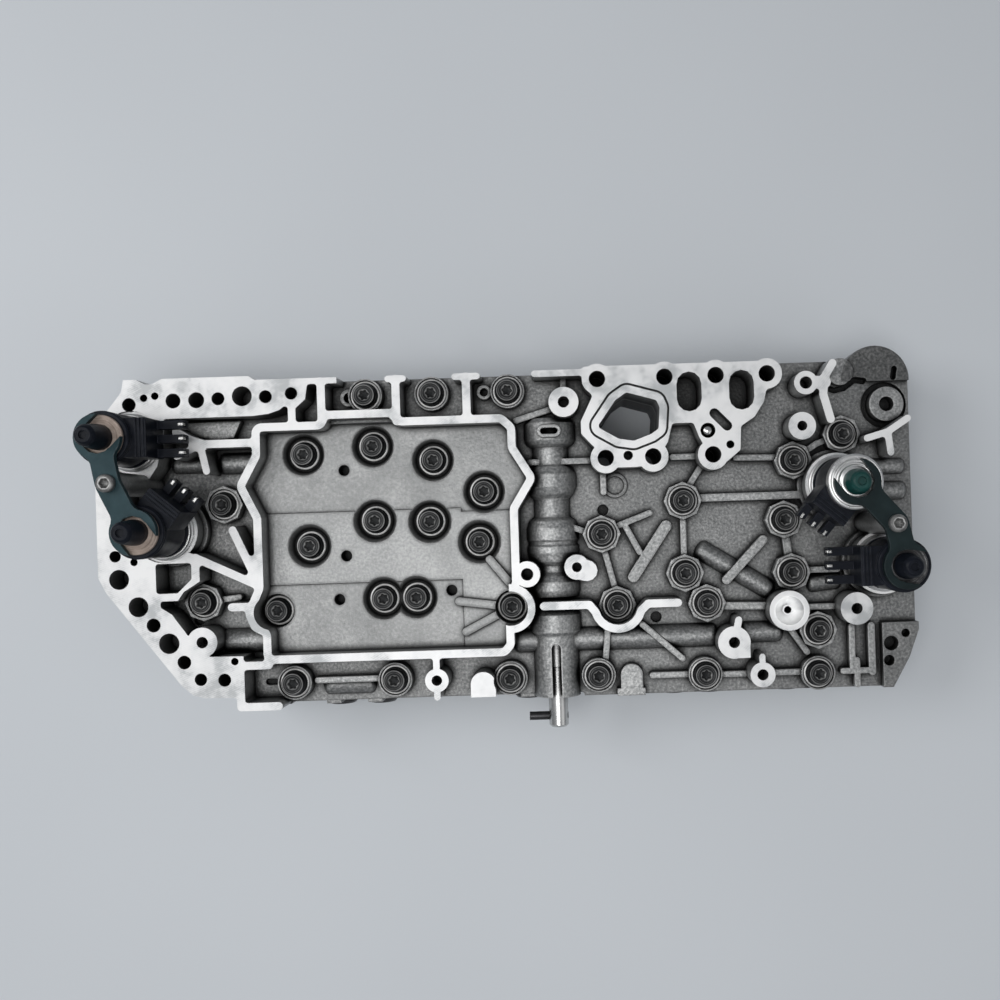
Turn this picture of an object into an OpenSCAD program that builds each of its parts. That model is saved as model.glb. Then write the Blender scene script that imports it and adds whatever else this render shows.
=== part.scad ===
// Transmission valve body: two castings clamped over a separator plate. The lower casting holds
// seven spool valves, the upper one the manual valve and the seats of four upright solenoids.
// Frame: X along the body, Y across it, Z up from the bottom face of the lower casting, millimetres.

/* [Castings] */
// Height of the lower casting
lower_h = 30; // [28:0.5:36]
// Thickness of the separator plate
plate_t = 1.5; // [1:0.1:3]
// Thickness of the upper casting's floor
floor_t = 8.5; // [8:0.5:11]
// Height of the cast ribs and screw bosses above the floor
rib_h = 4.5; // [3:0.5:6]
// Height of the machined walls above the floor
wall_h = 14; // [12:0.5:18]
// Thickness of the machined walls
wall_w = 3.2; // [2.6:0.1:3.8]
// Thickness of the cast ribs
rib_w = 2.4; // [1.8:0.1:3]
// Rise of the pan pocket's floor above the casting's floor
pan_rise = 4.5; // [3.5:0.5:5.5]
// Flare of the craters round the pocket's screws
crater_flare = 2.2; // [1.5:0.1:2.6]
// Rounding of the pan wall's corners, seen from above
pan_round = 2.4; // [1.5:0.1:2.8]
// Fillet where walls and ribs meet, seen from above
plan_fillet = 1.2; // [0.6:0.1:1.8]
// Step back of the plate and the lower casting from the upper casting's edge
edge_step = 1.2; // [0.5:0.1:2]
// Depth of the hollows between the lower casting's rims
side_hollow = 4.5; // [3:0.5:5]
// Height of those rims
rim_h = 4.5; // [3.5:0.5:6]

/* [Screws] */
// Shank diameter of the housing screws
bolt_d = 6; // [5:0.5:7]
// Diameter of the screw's flange
flange_d = 12; // [11:0.5:13]
// Thickness of the screw's flange
flange_t = 1.2; // [0.8:0.1:2]
// Diameter of the screw's head
head_d = 9.6; // [8.5:0.1:10.4]
// Height of the head above its flange
head_h = 4; // [3:0.5:5.5]
// Depth of the drive recess in the head
drive_depth = 2.2; // [1.5:0.1:2.8]
// Thread length in the lower casting
thread_l = 8; // [6:0.5:9]
// Radial room round the shank in the plate and the upper casting
shank_gap = 0.3; // [0.2:0.05:0.5]
// Rim of the cast boss round a screw flange
boss_rim = 1.7; // [1.3:0.1:2]
// Rim of the boss of a screw at the casting's edge
edge_rim = 0.9; // [0.6:0.1:1]
// Height of those rims above the screw's seat
rim_up = 1.6; // [1:0.1:2.4]

/* [Flange holes] */
// Diameter of the through holes in the ported flange
flange_hole_d = 6.6; // [5.5:0.1:7]
// Width of the seal groove round the large port
groove_w = 0.9; // [0.6:0.1:1.2]
// Depth of that groove
groove_depth = 0.8; // [0.5:0.1:1.5]
// Land between the large port and the groove
groove_land = 3; // [2.5:0.1:3.2]

/* [Manual valve] */
// Diameter of the manual valve's lands
manual_d = 9.4; // [8.8:0.1:9.8]
// Diameter of the rod that stands out of the barrel
rod_d = 8; // [7:0.1:8.6]
// Outer diameter of the barrel
barrel_d = 18.8; // [17:0.1:20]
// Height of the barrel's axis above the separator plate
barrel_up = 7; // [6.5:0.1:8]
// Length of rod outside the barrel
rod_out = 13; // [10:0.5:20]
// Diameter of the cross pin
cross_pin_d = 3.5; // [3:0.1:4]
// Length of the cross pin outside the rod
cross_pin_out = 8; // [6:0.5:11]
// Width of the slot in the barrel
barrel_slot_w = 3.8; // [3:0.1:4.6]

/* [Spool valves] */
// Diameter of the spool lands
spool_d = 11; // [9:0.1:12]
// Length of a spool
spool_l = 60; // [56:1:70]
// Travel of a spool
spool_travel = 5; // [3:0.5:6]
// Radial running clearance of spools and manual valve
run_gap = 0.05; // [0.02:0.01:0.08]
// Height of the valve bores above the bottom face
bore_z = 12.5; // [11:0.5:13]
// Length of a return spring
spring_l = 22; // [18:1:26]
// Wire diameter of a return spring
wire_d = 1.2; // [0.8:0.1:1.5]
// Diameter of the end plugs
plug_d = 13; // [12.5:0.1:14]
// Length of an end plug
plug_l = 11; // [10:0.5:13]
// Diameter of the pin that keeps a plug in
plug_pin_d = 3; // [2:0.1:3.4]

/* [Solenoids] */
// Diameter of the moulded coil
coil_d = 20.4; // [19:0.2:21]
// Height of the moulded coil
coil_h = 28; // [25:0.5:32]
// Diameter of the sleeve in the casting
sleeve_d = 17; // [15:0.2:17.2]
// Wall of the cast seat ring round the sleeve
seat_wall = 4.2; // [3.6:0.1:4.6]
// Width of the step round the seat ring
seat_step = 1.6; // [1:0.1:2]
// Depth of the seat below the machined face
seat_drop = 2; // [1:0.5:4]
// Diameter of the pole disc
disc_d = 17; // [16:0.2:18]
// Thickness of the pole disc
disc_t = 1.5; // [1:0.1:2]
// Diameter of the nose
nose_d = 9.8; // [8.5:0.1:10.5]
// Height of the nose
nose_h = 13.5; // [10:0.5:16]
// Width of the connector
plug_w = 15; // [13:0.5:16]
// Reach of the connector block from the coil's axis
plug_reach = 15.5; // [14:0.5:17]
// Length of the connector's fingers
finger_l = 10; // [7:0.5:12]

/* [Brackets] */
// Thickness of the hold-down plates
bracket_t = 2.5; // [1.5:0.1:3]
// Width of the fork round a nose
fork_w = 12.4; // [11.5:0.1:13]
// Width of the bracket's neck
neck_w = 9; // [8:0.5:11]
// Head diameter of the bracket screws
bscrew_head_d = 6.8; // [6.5:0.1:8.5]
// Shank diameter of the bracket screws
bscrew_d = 5; // [4:0.1:5.4]
// Diameter of the cast post under a bracket screw
post_d = 9; // [8:0.1:10]

/* [Balls] */
// Diameter of the check balls
ball_d = 6; // [4.5:0.1:6.6]
// Diameter of the ball pressed into the flange
seal_ball_d = 5.8; // [5:0.1:6.4]

/* [Hidden] */
$fn = 32;
eps = 0.01;

// Levels from the bottom face up
split_z = lower_h + plate_t;
floor_z = split_z + floor_t;
pan_z = floor_z + pan_rise;
rib_z = floor_z + rib_h;
top_z = floor_z + wall_h;
seat_z = top_z - seat_drop;
coil_z = seat_z + coil_h;
pan_seat_z = floor_z + 0.5;
pan_step = 0.6;
pan_rib_h = 1.2;
boss_z = rib_z + rim_up;
thread_z = lower_h - thread_l;
tap_r = bolt_d / 2 + 0.05;

// Screw places, by the face that carries them
open_at = [[-82, 33.5], [-53.5, 36], [-29, 29.5], [-8.5, 16], [-53.5, 5.5], [-31, 4.5], [-80.5, -4],
    [-11, -4.5], [-51, -26.5], [-37.5, -26.5]];
corner_at = [[-94.5, -30], [1.5, -31.5]];
pocket_at = concat(open_at, corner_at);
deck_at = [[39, -3], [44.5, -32], [72.5, -20], [81, -32.5], [72.5, 9.5], [113.5, 0.5], [116, -21],
    [126, -45], [118, 24.5], [138, 34.5], [-124, -25.5], [-114.5, 14]];
edge_at = [[-88, -59.5], [-47, -59.5], [0, -60.5], [36, -60.5], [79.5, -61.5], [125.5, -62.5],
    [-55.5, 56.5], [-28.5, 56.5], [2.5, 56.5]];
screw_at = concat(pocket_at, deck_at, edge_at);
lobe_at = corner_at[1];
lobe_d = 19.6;
crater_d = flange_d + 1.8;
seat_d = sleeve_d + 2 * seat_wall;

// Solenoids: place of the axis and heading of the connector
sol_at = [[-148.3, 39.9], [-136.1, 3.9], [134, 14], [151.5, -18]];
sol_turn = [0, 50, -130, 180];
fork_turn = [45, -55, 125, -10];
bracket_z = coil_z + disc_t;
post_at = [[-145, 22.5], [148, -2]];
post_pairs = [[0, 1], [2, 3]];
seal_z = [split_z + 6, split_z + 11];
seal_wire = 1.5;
seal_out_r = sleeve_d / 2 + 0.05;
finger_y = [-1, 0, 1] * (plug_w / 2 - 2);
finger_w = 3.2;
finger_at = [finger_l, finger_l - 4.5, finger_l - 4.5, finger_l];
nose_at = [nose_h, nose_h, 0.62 * nose_h, 0.8 * nose_h];
blade_h = 3;
plug_low = seat_z + 8;
plug_high = coil_z - 3;

// Ported flange: through holes in an upper and a lower line
flange_top_y = 59.2;
flange_low_y = 27.5;
flange_top_x = [39, 66, 86.5, 107];
flange_low_x = [41.5, 60.5, 84.5];
flange_holes = concat([for (x = flange_top_x) [x, flange_top_y]],
    [for (x = flange_low_x) [x, flange_low_y]]);
port_pts = [[38.5, 40], [46, 50.5], [50.5, 53.5], [62.5, 50], [63.7, 47], [63, 38.5], [60, 36.5],
    [53, 34], [47, 35]];

flange_boss_d = 12.2;
flange_round = 1.4;

// Bosses as [x, y, diameter, hole], at the machined face and at rib height
cone_at = [113, -36];
machined_bosses = [[-122.3, -41, 12, 4.6], [8.5, -18, 10.4, 5], [25.3, 50.5, 12, 4.6], [28.5, -15.8, 10, 4],
    [90.5, -48, 13, 4.5], [cone_at[0], cone_at[1], 16, 3], [140, -36, 13, 4.5], [101.5, -61.3, 10, 4.5],
    [120.5, 37.8, 11, 4], [-29, -59.3, 9.4, 4.2], [122.5, 55, 9.4, 5]];
cast_bosses = [[157.2, 46.4, 14, 6], [-62.5, 56, 7, 4.2], [-7.2, 56.5, 5.8, 3.4]];

// Plain round pads as [x, y, diameter, top], and the round corner of the casting
pad_at = [[-10.5, -61.5, 10, top_z], [49.5, -61, 9, rib_z], [139, 60.4, 11, rib_z - 1.5]];
corner_pad = [153.5, 56.7, 28];
trench_w = 2.4;

// Drilled holes as [x, y, diameter], from the machined face, the low corner and the floors
face_holes = [[50.5, 28.2, 3.8], [91.5, 31.3, 3.2], [-148.5, 55, 5.5], [-142.5, 57.5, 3], [-138, 58.2, 3],
    [-130.8, 56, 6], [-121.5, 56, 6.4], [-112.8, 56.3, 5.2], [-103.2, 57, 8], [-93.8, 56.5, 5.2],
    [-83.5, 57.5, 5], [-154.7, -14.8, 8], [-147.3, -26, 8], [-141.5, -33.5, 5.6], [-135.5, -41, 8.2],
    [-129.7, -48.7, 5.5], [-123.3, -55.8, 5], [-113.8, -56.3, 5.2], [-156, -5.5, 4.6], [-148.5, -8, 3],
    [-109.5, -49, 3]];
low_holes = [[156, -51.5, 6], [162, -47.5, 3.5], [155, -58.5, 4.4]];
floor_holes = [[-65.5, 26.5], [-65.5, -8.5], [-69, -26.3], [-23, -24], [40, 6.8], [60.5, -38], [-128, -33]];

// Valve lines
valve_x = [-76, -58.5, 6, 51, 69, 84.5, 118];
valve_face_y = -71;
plug_out = 2.5;
plug_in_y = valve_face_y - plug_out + plug_l;
spool_y = plug_in_y + spring_l;
bore_end_y = spool_y + spool_l + 0.3;
stem_end_y = spool_y - spool_travel - 0.2;
chamber_y = [-27, -9];
chamber_w = 7;
chamber_d = spool_d + 3.6;
port_d = 4;
bore_d = spool_d + 2 * run_gap;
plug_boss_d = plug_d + 4;
plug_boss_l = 12;
plug_pin_y = valve_face_y + 5;
plug_pin_low = bore_z - plug_d / 2 - 1;

// Pillars and webs of the lower casting's sides
pillar_d = 13;
web_x = [-120, -103, -78, -32, -14, 20, 97, 140];
web_y = [-32, -12, 8, 28];

// Manual valve line, stations along Y
barrel_x = 19;
barrel_z = split_z + barrel_up;
barrel_y = -69;
barrel_end_y = 45;
manual_bore_d = manual_d + 2 * run_gap;
manual_bore_end = 42;
manual_end_y = 31;
slot_y = -49;
vent_y = 39.5;
vent_l = 4.6;
vent_w = 2.6;
cross_pin_y = barrel_y - rod_out + 4.5;
pin_shank_d = cross_pin_d - 0.5;

// Check balls
ball_at = [[-20, 15], [22, -20], [96, 20], [-110, -10]];
ball_room = 0.5;
seal_ball_at = [82.7, 37.2];
seal_ball_room = 0.1;

// Points of an arc about c from angle a0 to a1
function arc(c, r, a0, a1, n) = [for (i = [0:n]) let (a = a0 + (a1 - a0) * i / n) c + r * [cos(a), sin(a)]];

// Thick line through points, with round ends
module path(pts, w) {
    for (i = [0:len(pts) - 2]) {
        d = pts[i + 1] - pts[i];
        translate(pts[i]) rotate(atan2(d[1], d[0])) translate([0, -w / 2]) square([norm(d), w]);
    }
    for (p = pts) translate(p) circle(d = w, $fn = 12);
}

module dot(p, d) {
    translate(p) circle(d = d, $fn = 32);
}

// Fills the inner corners of a plan shape
module filleted(r) {
    offset(r = -r, $fn = 16) offset(r = r, $fn = 16) children();
}

// Rounds the inner and outer corners of a plan shape
module rounded(r) {
    offset(r = r, $fn = 20) offset(r = -2 * r, $fn = 20) offset(r = r, $fn = 20) children();
}

// A plan shape between two heights
module layer(z0, z1) {
    translate([0, 0, z0]) linear_extrude(z1 - z0) children();
}

// A hole or peg from z0 to z1
module rod(p, d, z0, z1) {
    translate([p[0], p[1], z0]) cylinder(d = d, h = z1 - z0, $fn = 40);
}

// Turned shape about the line at x, z that runs along +Y; its profile holds [radius, y]
module turned_y(x, z, profile) {
    translate([x, 0, z]) rotate([-90, 0, 0]) rotate_extrude($fn = 48) polygon(profile);
}

// Lying bulge with domed ends between two points, its axis at height z
module bulge(p, q, d, z) {
    v = q - p;
    r = d / 2;
    dome = [for (a = [0:15:90]) [r * cos(a), norm(v) + 0.6 * r * sin(a)]];
    foot = [for (a = [-90:15:0]) [r * cos(a), 0.6 * r * sin(a)]];
    translate([p[0], p[1], z]) rotate([0, 90, atan2(v[1], v[0])])
        rotate_extrude($fn = 32) polygon(concat(foot, dome));
}

// Outline of the upper casting's floor
base_pts = [[-163, 47], [-158, 52], [-151.5, 60], [-150.5, 65], [-145.5, 65], [-142, 63], [-139, 63],
    [-135, 65], [-100.5, 65], [-98, 63.4], [33, 63.4], [33, 64.3], [111, 64.3], [113, 65], [134, 65],
    [154, 57], [167.5, 57], [167.5, -46], [163.5, -57], [156.5, -69.5], [30, -69.5], [30, -68],
    [-91, -68], [-91, -69], [-109, -69], [-109, -63.7], [-122, -63.3], [-126.5, -62], [-131, -58],
    [-160, -20], [-163, -14]];
base_reach = max([for (p = base_pts) norm(p)]);

module base_plan() {
    filleted(plan_fillet) {
        polygon(base_pts);
        dot(corner_pad, corner_pad[2]);
        for (x = flange_top_x) dot([x, flange_top_y], 2 * (65.2 - flange_top_y));
    }
}

// Region of the pan pocket, inside its wall
pan_pts = [[-98.2, 44.3], [-72, 44.3], [-70.3, 48.4], [-44, 48.4], [-41, 44.8], [0, 44.8], [4, 41], [4, 33],
    [11.5, 20.5], [4, 8.5], [4, -21], [1, -31], [1, -46], [-1.5, -48.8], [-96.3, -48.8], [-96.3, -38],
    [-101, -35.5], [-103.2, -30], [-98.7, -20], [-98.7, 8], [-105, 21], [-98.3, 33]];

// Ledge in the notch of the pan wall
ledge_z = pan_z + 4;
ledge_pts = [[-70.5, 48.4], [-44, 48.4], [-41.6, 45.4], [-71.6, 45.4]];

// Ring left by an ejector pin
scar_at = [45.3, 16.8];
scar_d = 10;

module pan_plan() {
    rounded(pan_round) polygon(pan_pts);
}

// Flat machined areas of the upper casting
module flange_plan() {
    difference() {
        polygon([[-163, 47], [-158, 52], [-151.5, 60], [-150.5, 65], [-145.5, 65], [-142, 63], [-139, 63],
            [-135, 65], [-100.5, 65], [-98, 63.4], [-65.2, 63.4], [-65.2, 61], [-77, 61], [-78, 55],
            [-82, 51.5], [-82, 45], [-85, 45], [-85, 53.5], [-88.5, 51], [-93, 49.6], [-99, 49], [-135, 48.9],
            [-135, 43], [-138, 30], [-141.5, 25], [-150, 24], [-152, 16], [-152, 8], [-149, -3],
            [-145, -4], [-129, -4], [-122.5, -6.3],
            [-122.5, -16.5], [-129, -20.5], [-131.5, -24], [-138.5, -24], [-138.5, -26.5], [-134, -29.5],
            [-128, -38], [-124, -40], [-119.5, -46.8], [-106, -47], [-106, -63.7], [-122, -63.3],
            [-126.5, -62],
            [-131, -58], [-160, -20], [-163, -14]]);
        polygon([[-140, -9], [-125.7, -9], [-125.7, -15.5], [-131.5, -21], [-140, -21]]);
    }
    difference() {
        rounded(flange_round) polygon([[33, 64.3], [33, 57.5], [37, 52.5], [32, 42.5], [32, 37.5],
            [37, 32], [41.5, 24], [47.5, 23.5], [53, 23.5], [60.5, 24], [66.5, 33], [68.5, 40.5],
            [77, 40.5], [79, 35],
            [84.5, 24], [90, 24.5], [95.5, 29], [96, 38.5], [101.5, 42], [105.5, 48], [106.5, 52.5],
            [111, 55], [111, 64.3]]);
        port_plan();
    }
}

// Large port of the ported flange
module port_plan() {
    rounded(flange_round) polygon(port_pts);
}

// Machined walls and bosses of the upper casting
module wall_plan() {
    flange_plan();
    difference() {
        offset(r = wall_w / 2, $fn = 20) pan_plan();
        offset(delta = -wall_w / 2) pan_plan();
    }
    path([[-124, -7], [-99, -19]], wall_w);
    path([[-108.7, 3.5], [-100, -16]], wall_w);
    path([[-110, -27.3], [-101, -27.3]], wall_w);
    path([[-130, 43.5], [-124, 40], [-119, 38.3], [-99, 38.3]], wall_w);
    path([[-130, 33.7], [-121, 37.8]], wall_w - 0.6);
    path([[-120.5, 37.5], [-118.3, 27.5]], wall_w - 0.4);
    path([[-96, -50.9], [-107.5, -50.9], [-107.5, -67.4], [-92.5, -67.4]], wall_w);
    path([[-71.6, 46], [-71.6, 62]], wall_w);
    for (t = [[-41.7, 3], [-13.5, 4.4]]) {
        path([[t[0], 45], [t[0], 62]], wall_w);
        path([[t[0] - t[1], 62], [t[0] + t[1], 62]], wall_w - 0.6);
    }
    path([[14, 62.1], [34, 62.1]], wall_w - 0.6);
    path(concat([[14.8, -31], [33, -31]], arc([44.5, -31.5], 9.5, 195, 345, 10),
        [[56.5, -31.3], [68.5, -31.3]]), wall_w);
    path([[28.5, -16.3], [32.5, -17.3]], 8.4);
    path([[90.5, -48], [92.5, -39]], wall_w - 0.4);
    translate([90.5, -54.3]) square([6.3, 6.3]);
    path([[101.5, -61.3], [101.5, -54]], rib_w);
    path([[-29, -50], [-29, -66]], wall_w - 0.6);
    translate([-15.5, -66.5]) square([10, 5]);
    path([[133.4, 62.5], [130, 57], [129.3, 50.2], [132, 40.1]], wall_w);
    path([[122.5, 55], [130, 55]], 5);
    path([[162.7, 39.5], [154.6, 34.3], [146.3, 32]], wall_w - 0.5);
    path([[154.6, 34.3], [155.6, 26]], wall_w - 0.5);
}

// Cast ribs and screw bosses, lower than the walls
module rib_plan() {
    polygon([[-133, 48], [-107, 48], [-110, 41.5], [-117, 40.5], [-133, 44]]);
    polygon([[152.5, -43], [167.5, -43], [167.5, -46], [163.5, -57], [156.5, -69.5], [152.5, -69.5]]);
    path([[10.5, 27.2], [36, 27.2]], rib_w);
    path([[69, 27.5], [79, 27.5]], rib_w);
    path([[51.5, -21], [65.5, -0.5]], 4.5);
    path([[54.5, -40.5], [70.5, -55]], rib_w);
    path([[40.3, -42], [39, -55]], rib_w);
    path([[39.5, -8], [44, -26]], rib_w);
    path([[14.5, -20.5], [24, -15.5]], rib_w);
    path([[15, 4.5], [33, -2]], rib_w);
    path([[44, -0.5], [59, 5]], rib_w);
    path([[80, 10.4], [124, 10.4]], rib_w + 0.7);
    path([[95, 26.4], [112, 26]], rib_w);
    path([[105, -7.5], [89.5, -23.5]], rib_w + 1.2);
    path([[87, -34], [107, -34.6]], rib_w + 0.6);
    path([[120, -35.6], [136, -35.6]], rib_w);
    path([[114, -43], [121.5, -54]], rib_w);
    path([[113.5, 0.5], [116, -21]], 3.2);
    path([[121, -20.5], [135, -20.5]], rib_w);
    path([[25.3, 54], [25.3, 62]], rib_w);
    path([[5.5, 44.5], [21, 49]], rib_w);
    path([[72.5, 9.5], [72.5, -20]], rib_w);
    path([[81, -32.5], [72.5, -20]], rib_w);
    path([[58, -61.5], [79, -61.5]], rib_w);
    path([[86, -62], [101, -62]], rib_w);
    path([[102, -62], [120, -62]], rib_w);
    path([[-79, -59], [-47, -59]], rib_w);
    path([[140, -44], [140, -61]], rib_w);
    path([[148, -44], [148, -63]], rib_w + 0.4);
    path([[118, 24.5], [128, 31], [138, 34.5]], rib_w);
    path([[-124, -25.5], [-110, -24]], rib_w);
    path([[48.9, -0.2], [54.4, -10.9]], rib_w);
    path([[40.4, 23], [40.4, 14]], rib_w);
    path([[81, 24], [75, 15]], rib_w);
    path([[136, -62.3], [147, -62.3]], rib_w);
    path([[141.8, -58], [141.8, -68]], rib_w);
    translate([45, -69]) square([9, 8]);
    translate([43.5, -69.4]) square([11.4, 3]);
}

// Ribs on the pan pocket's floor, that run out from the screw in its corner
module pan_rib_plan() {
    path([lobe_at, [-20, -28.5]], 3.2);
    path([lobe_at, [-17.5, -41]], 3.2);
    path([[-7, -11.8], [2, -23]], 3.2);
}

// Raised panels of the pan pocket's floor
module pan_panel_plan() {
    translate([-98.7, -19.5]) square([80.5, 29]);
    translate([-18.2, -48]) square([22, 56]);
}

// Barrel of the manual valve with its swollen chambers
module barrel() {
    r = barrel_d / 2;
    neck = r - 1.8;
    turned_y(barrel_x, barrel_z, [[0, barrel_y], [r, barrel_y], [r, -44], [r + 1.2, -42.4], [r + 1.2, -35.5],
        [r, -33.5], [neck, -32], [neck, -29.5], [r + 0.6, -28], [r + 1.3, -25.5], [r + 1.3, -22],
        [r, -19.6],
        [neck, -18], [neck, -15.5], [r + 0.4, -13.6], [r + 1.4, -10], [r + 1.4, -7.6], [r + 0.7, -6.6],
        [r + 0.7, -5.6], [r + 1.4, -4.6], [r + 1.4, 0], [r + 0.4, 3], [neck, 4.6], [neck, 12], [r, 14],
        [r + 1.2, 17], [r + 1.2, 22], [r - 0.4, 25], [neck, 26], [neck, 33], [r + 0.4, 34.4], [r + 1.3, 36],
        [r + 1.3, barrel_end_y - 2], [r - 0.5, barrel_end_y], [0, barrel_end_y]]);
}

// Closed oil galleries that swell out of the floor
module galleries() {
    gallery_z = floor_z - 1;
    bulge([4, -46], [83, -46], 10, gallery_z);
    bulge([97, -45.5], [110, -45.5], 9, gallery_z);
    bulge([80, -11], [107, -28], 8.6, gallery_z);
    bulge([-116, -42], [-101, -42], 10.4, gallery_z);
    bulge([-75, -61.5], [-58, -61.5], 9, gallery_z - 1);
    bulge([-135, 31], [-124, 31], 7.4, gallery_z);
    bulge([-115, 31], [-103, 31], 9, gallery_z);
    bulge([150, 21], [163, 21], 7, gallery_z);
    bulge([154, 11], [163, 11], 8, gallery_z);
    bulge([125, -26], [135, -25], 9, gallery_z - 1);
}

module upper_housing() {
    color("lightgray") difference() {
        union() {
            layer(split_z, floor_z) base_plan();
            layer(floor_z, pan_z - pan_step) offset(delta = eps) pan_plan();
            layer(pan_z - pan_step, pan_z) intersection() {
                pan_panel_plan();
                pan_plan();
            }
            layer(pan_z - pan_step, pan_z + pan_rib_h) intersection() {
                pan_rib_plan();
                pan_plan();
            }
            layer(floor_z - 1, rib_z) rib_plan();
            layer(floor_z, top_z) filleted(plan_fillet) wall_plan();
            bosses();
            intersection() {
                union() {
                    barrel();
                    galleries();
                }
                translate([-200, -100, split_z + 1]) cube([400, 200, wall_h + floor_t]);
            }
            layer(pan_z - 1, ledge_z) polygon(ledge_pts);
            layer(floor_z - 1, floor_z + 0.8) difference() {
                dot(scar_at, scar_d);
                dot(scar_at, scar_d - 2.4);
            }
            for (p = sol_at) {
                rod(p, seat_d, floor_z - 1, seat_z);
                rod(p, seat_d + 2 * seat_step, floor_z - 1, rib_z);
            }
            for (p = post_at) rod(p, post_d, floor_z - 1, bracket_z);
            layer(barrel_z + manual_d, barrel_z + barrel_d / 2 + 2)
                path([[barrel_x - vent_l / 2, vent_y], [barrel_x + vent_l / 2, vent_y]], vent_w + 2.4);
        }
        for (p = pocket_at) rod(p, crater_d, pan_seat_z, top_z + 1);
        for (p = open_at) translate([p[0], p[1], pan_seat_z])
            cylinder(d1 = crater_d, d2 = crater_d + 2 * crater_flare, h = pan_z - pan_seat_z, $fn = 40);
        for (p = screw_at) rod(p, bolt_d + 2 * shank_gap, split_z - 1, top_z);
        for (p = concat(deck_at, edge_at)) rod(p, flange_d + 2 * shank_gap, rib_z, top_z + 1);
        for (p = sol_at) {
            rod(p, sleeve_d + 0.2, split_z + 2, top_z + 1);
            rod(p, seat_d, seat_z, top_z + 1);
        }
        for (p = post_at) rod(p, bscrew_d + 0.1, bracket_z - 14, bracket_z + 1);
        manual_line_cut();
        flange_cuts();
        boss_cuts();
    }
}

// Bore of the manual valve, its slot and its vent
module manual_line_cut() {
    turned_y(barrel_x, barrel_z, [[0, barrel_y - 3], [manual_bore_d / 2, barrel_y - 3],
        [manual_bore_d / 2, manual_bore_end], [0, manual_bore_end]]);
    layer(barrel_z, top_z) {
        path([[barrel_x, barrel_y - 3], [barrel_x, slot_y]], barrel_slot_w);
        path([[barrel_x - vent_l / 2, vent_y], [barrel_x + vent_l / 2, vent_y]], vent_w);
    }
}

// Round bosses: at the machined face, round the flange holes, at rib height and round the corner screw
module bosses() {
    for (b = machined_bosses) rod(b, b[2], floor_z - 1, top_z);
    for (p = flange_holes) rod(p, flange_boss_d, floor_z - 1, top_z);
    for (b = cast_bosses) rod(b, b[2], floor_z - 1, rib_z);
    for (p = deck_at) translate([p[0], p[1], floor_z - 1])
        cylinder(d = flange_d + 2 * boss_rim, h = boss_z - floor_z + 1, $fn = 8);
    for (p = edge_at) rod(p, flange_d + 2 * edge_rim, floor_z - 1, boss_z);
    for (p = pad_at) rod(p, p[2], floor_z - 1, p[3]);
    difference() {
        rod(lobe_at, lobe_d, floor_z - 1, top_z);
        translate([lobe_at[0] - lobe_d - 0.5, lobe_at[1] - lobe_d / 2, floor_z - 2])
            cube([lobe_d, lobe_d, wall_h + 4]);
    }
    difference() {
        rod(corner_pad, corner_pad[2], floor_z - 1, floor_z + 2);
        translate([corner_pad[0] - corner_pad[2], corner_pad[1] - corner_pad[2], floor_z - 2])
            cube([2 * corner_pad[2], corner_pad[2] - 0.5, 6]);
    }
}

// Holes and ports of the machined flanges
module flange_cuts() {
    for (p = flange_holes) rod(p, flange_hole_d, -1, top_z + 1);
    layer(-1, top_z + 1) port_plan();
    layer(top_z - groove_depth, top_z + 1) difference() {
        offset(r = groove_land + groove_w, $fn = 20) port_plan();
        offset(r = groove_land, $fn = 20) port_plan();
    }
    for (x = [75.7, 96.7]) layer(split_z + 3, top_z + 1) path([[x, 50], [x, 56]], 10);
    layer(top_z - 5, top_z + 1) path([[85.5, 44], [90.5, 38.8]], 4);
    rod(seal_ball_at, seal_ball_d + 2 * seal_ball_room, top_z - 6, top_z + 1);
    for (h = face_holes) rod(h, h[2], floor_z, top_z + 1);
    layer(floor_z - 2, floor_z + 1) path([[-100.2, -59.6], [-97.4, -59.6]], 2.6);
}

// Tapped and drilled bosses
module boss_cuts() {
    for (b = machined_bosses) rod(b, b[3], floor_z + 1, top_z + 1);
    for (b = cast_bosses) rod(b, b[3], floor_z - 2, rib_z + 1);
    translate([cone_at[0], cone_at[1], top_z - 4]) cylinder(d1 = 4, d2 = 11.6, h = 4 + eps, $fn = 40);
    for (h = low_holes) rod(h, h[2], floor_z - 2, rib_z + 1);
    b = cast_bosses[0];
    difference() {
        rod(b, b[2] + 2 * trench_w, floor_z - 2, rib_z);
        rod(b, b[2], floor_z - 3, rib_z + 1);
    }
    layer(floor_z - 3, rib_z) {
        path([[133.4, 54.4], [137, 53], [141, 53.8], [145.4, 57], [149, 56.4]], trench_w);
        path([[161, 57.5], [161.6, 61]], trench_w);
    }
    for (h = floor_holes) rod(h, 4.6, floor_z - 3, pan_z + 1);
}

module separator_plate() {
    color("silver") difference() {
        layer(lower_h, split_z) offset(delta = -edge_step) base_plan();
        for (p = screw_at) rod(p, bolt_d + 2 * shank_gap, lower_h - 1, split_z + 1);
        for (p = flange_holes) rod(p, flange_hole_d, lower_h - 1, split_z + 1);
        for (x = valve_x, y = chamber_y) rod([x, y], port_d - 1, lower_h - 1, split_z + 1);
        layer(lower_h - 1, split_z + 1) port_plan();
    }
}

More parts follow.
